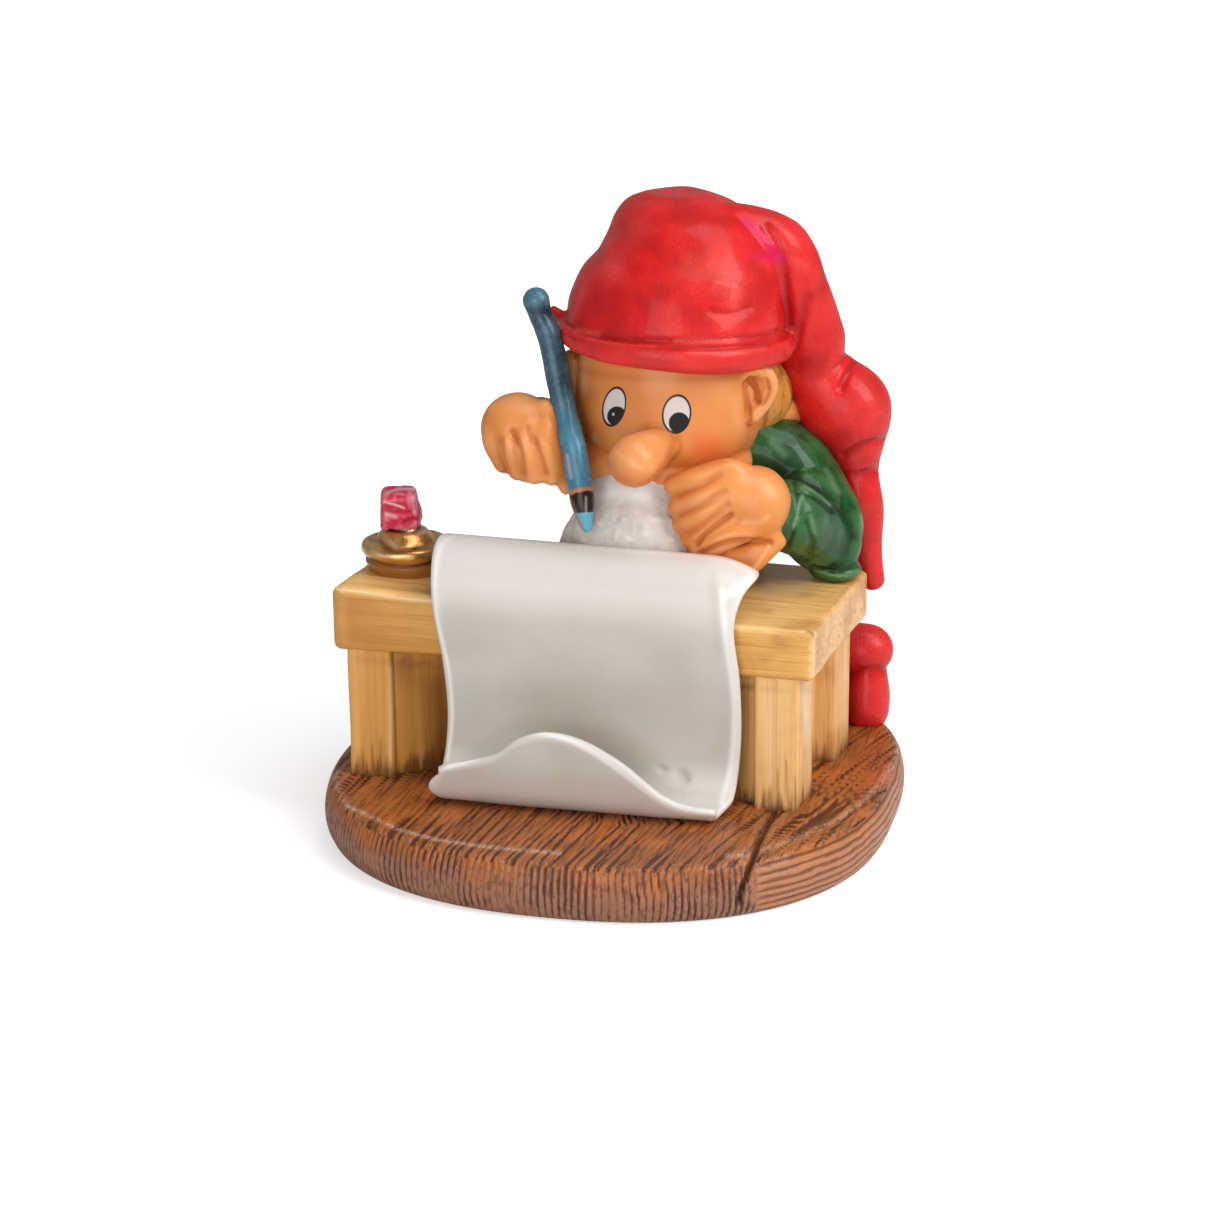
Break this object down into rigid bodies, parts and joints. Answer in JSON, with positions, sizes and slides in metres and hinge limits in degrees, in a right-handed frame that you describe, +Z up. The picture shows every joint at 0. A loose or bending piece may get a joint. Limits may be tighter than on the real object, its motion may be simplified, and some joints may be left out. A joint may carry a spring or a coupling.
{
  "type": "elf figurine",
  "caption": "Painted figurine of an elf in a long stocking cap who writes on a hanging scroll at a plank table, cast in one piece on a round wooden base.",
  "frame": {"origin": "middle of the base's flat underside", "axes": "+Z up, +X to the viewer's right along the table, +Y from the scroll towards the figure's back"},
  "size_m": [0.1066, 0.107, 0.1171],
  "materials": {
    "painted_casting": "hand-painted cast resin under a clear gloss varnish"
  },
  "bodies": {
    "root": {"elf_figurine": "painted_casting"}
  },
  "joints": []
}
